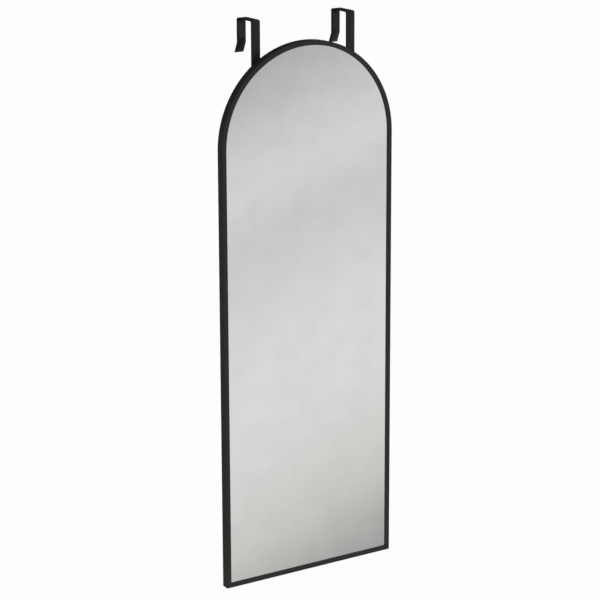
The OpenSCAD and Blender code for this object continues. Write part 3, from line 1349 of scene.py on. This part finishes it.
@dataclass(frozen=True)
class Studio:
    """A pale floor below the hanging mirror, soft lamps, and two boards that it reflects.

    The boards show in reflections alone. The one in front gives the glass its soft grey bands,
    and fades to the floor's white at its foot. The one behind keeps the black edges black, as a
    dark flag does.
    """

    floor_z: float = -2.032
    floor_r: float = 14.0
    floor_steps: int = 96
    floor_paint: str = "#f8f8f8"
    shadow_r: float = 0.7
    fade_r: float = 1.7
    white: float = 0.982
    fill: float = 0.55
    board_y: float = -1.2
    board_half_w: float = 4.0
    board_top: float = 2.6
    band_slope: float = 0.33
    band_low: float = -2.062
    band_high: float = -0.482
    silver_share: float = 0.87
    foot_h: float = 0.32
    foot_white: str = "#e5e5e5"
    bands: tuple[tuple[float, str], ...] = (
        (0.0, "#9c9c9c"),
        (0.14, "#c1c2bd"),
        (0.3, "#d5d5d3"),
        (0.5, "#d7d7d7"),
        (0.68, "#cacaca"),
        (0.8, "#d0d0d0"),
        (1.0, "#aaaaaa"),
    )
    flag_y: float = 1.2
    flag_top: float = 7.0
    flag_turn: tuple[float, float] = (-0.5, 0.4)
    flag_grey: str = "#8a8a8a"
    flag_black: str = "#2c2c2c"
    lamps: tuple[Softbox, ...] = (
        Softbox("key_softbox", (-2.4, -3.4, 2.4), 2.2, 70),
        Softbox("side_softbox", (3.2, -2.4, 1.4), 2.2, 40),
        Softbox("rear_softbox", (2.8, 3.2, -0.5), 2.2, 60),
    )

    def seen(self, add: Adder) -> Node:
        """Adds a test for rays that show the background: direct, mirrored or through glass.

        Args:
            add: Adds a node to the material or world.

        Returns:
            A node that gives 1 for such rays and 0 for others.
        """
        rays = add("LightPath").outputs
        mirrored = {0: rays["Is Glossy Ray"], 1: rays["Is Transmission Ray"]}
        indirect = add("Math", {"operation": "MAXIMUM"}, mirrored)
        return add("Math", {"operation": "MAXIMUM"}, {0: rays["Is Camera Ray"], 1: indirect})

    def light_air(self) -> None:
        """Makes the world: white to look at, and a soft grey light from all round."""
        world = bpy.data.worlds.new("studio_air")
        bpy.context.scene.world = world
        add = clear_tree(world)
        grey, white = [
            add("Background", {"Color": (1, 1, 1, 1), "Strength": strength})
            for strength in (self.fill, self.white)
        ]
        mixed = add("MixShader", links={0: self.seen(add), 1: grey, 2: white})
        add("OutputWorld", links={"Surface": mixed})

    def stage_sheet(self, name: str, points: Sequence[Corner]) -> tuple[Object, Adder]:
        """Makes a flat studio surface with an empty material.

        Args:
            name: Name of the surface and its material.
            points: Its outline.

        Returns:
            The surface, marked as stage, and what adds nodes to its material.
        """
        data = bpy.data.meshes.new(name)
        data.from_pydata(points, [], [range(len(points))])
        sheet = new_object(name, data)
        material = bpy.data.materials.new(name)
        data.materials.append(material)
        sheet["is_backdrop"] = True
        return sheet, clear_tree(material)

    def lay_floor(self) -> None:
        """Lays the floor, which keeps the shadow near the mirror and fades to white around."""
        rim = arc((0, 0), self.floor_r, 0, 360, self.floor_steps)[:-1]
        _, add = self.stage_sheet("floor", [(x, y, self.floor_z) for x, y in rim])
        place = add("TexCoord").outputs["Object"]
        flat = add("VectorMath", {"operation": "MULTIPLY", 1: (1.0, 1.0, 0.0)}, {0: place})
        away = add("VectorMath", {"operation": "LENGTH"}, {0: flat})
        fade = add(
            "MapRange",
            {"interpolation_type": "SMOOTHSTEP", "From Min": self.shadow_r, "From Max": self.fade_r},
            {"Value": away},
        )
        share = add("Math", {"operation": "MULTIPLY"}, {0: fade, 1: self.seen(add)})
        paint = add("BsdfDiffuse", {"Color": linear(self.floor_paint), "Roughness": 0.5})
        glow = add("Emission", {"Strength": self.white})
        mixed = add("MixShader", links={0: share, 1: paint, 2: glow})
        add("OutputMaterial", links={"Surface": mixed})

    def stand_board(self, name: str, depth: float, high: float) -> tuple[Adder, Node]:
        """Stands a board beside the mirror that only reflections show.

        Args:
            name: Name of the board.
            depth: Its y.
            high: The z of its top.

        Returns:
            What adds nodes to its material, and a node that splits its points into x, y and z.
        """
        wide, low = self.board_half_w, self.floor_z
        corners = [(-wide, low), (wide, low), (wide, high), (-wide, high)]
        board, add = self.stage_sheet(name, [(x, depth, z) for x, z in corners])
        for rays in ("camera", "diffuse", "transmission", "shadow"):
            setattr(board, f"visible_{rays}", False)
        return add, add("SeparateXYZ", links={"Vector": add("TexCoord").outputs["Object"]})

    def stand_bands(self) -> None:
        """Stands the banded board in front of the mirror."""
        add, axes = self.stand_board("front_board", self.board_y, self.board_top)
        height = axes.outputs["Z"]
        slope = {"operation": "MULTIPLY_ADD", 1: -self.band_slope}
        slant = add("Math", slope, {0: axes.outputs["X"], 2: height})
        share = add(
            "MapRange", {"From Min": self.band_low, "From Max": self.band_high}, {"Value": slant}
        )
        bands = add("ValToRGB", {"stops": self.bands}, {"Fac": share})
        bands.color_ramp.interpolation = "CARDINAL"
        foot_top = self.floor_z + self.foot_h
        foot = add(
            "MapRange",
            {"interpolation_type": "SMOOTHSTEP", "From Min": foot_top, "From Max": self.floor_z},
            {"Value": height},
        )
        white = {"data_type": "RGBA", "B": linear(self.foot_white)}
        colour = add("Mix", white, {"Factor": foot, "A": bands})
        glow = add("Emission", {"Strength": 1 / self.silver_share}, {"Color": colour})
        add("OutputMaterial", links={"Surface": glow})

    def stand_flag(self) -> None:
        """Stands the flag behind the mirror, grey below and near black above."""
        add, axes = self.stand_board("rear_flag", self.flag_y, self.flag_top)
        low, high = self.flag_turn
        share = add("MapRange", {"From Min": low, "From Max": high}, {"Value": axes.outputs["Z"]})
        tones = {"data_type": "RGBA", "A": linear(self.flag_grey), "B": linear(self.flag_black)}
        glow = add("Emission", links={"Color": add("Mix", tones, {"Factor": share})})
        add("OutputMaterial", links={"Surface": glow})

    def build(self, target: Vector) -> None:
        """Builds the studio.

        Args:
            target: The middle of the mirror.
        """
        bpy.context.scene.view_settings.view_transform = "Standard"
        self.light_air()
        self.lay_floor()
        self.stand_bands()
        self.stand_flag()
        for lamp in self.lamps:
            lamp.build(target)
        log.info("studio: floor, two boards and %d softboxes", len(self.lamps))


def main() -> None:
    """Builds the mirror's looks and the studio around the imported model."""
    logging.basicConfig(level=logging.INFO, format="%(message)s")
    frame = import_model()
    nodes = frame["nodes"]
    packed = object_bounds()
    zinc = ZincPlate("zinc_plated_steel")
    rubber = MouldedRubber("moulded_rubber")
    black_foam = CellFoam("black_cell_foam")
    frame_coat = PowderCoat("powder_coated_aluminium")
    strap_coat = PowderCoat("powder_coated_steel", dark="#0f0f0f", light="#171717", gloss=0.25)
    ArchFrame(frame_coat, zinc).build(nodes)
    SheetPack(
        glass=SilveredGlass("silvered_float_glass"),
        film=WovenFilm("woven_backed_film"),
        # painted shade: the white foam's cell pits are painted a darker white
        foam=CellFoam("white_foam_sheet", wall="#e9e9e5", pit_shade="#d2d2cd", cell_mm=1.6),
        board=Hardboard("pressed_hardboard"),
        rubber=rubber,
    ).build(nodes)
    HangerBar(strap_coat, zinc).build()
    for side in Side:
        StrapHook(side, strap_coat, black_foam).build()
    DoorBumpers(rubber).build()
    Viewpoint().build()
    Studio().build((packed[0] + packed[1]) / 2)


if __name__ == "__main__":
    main()
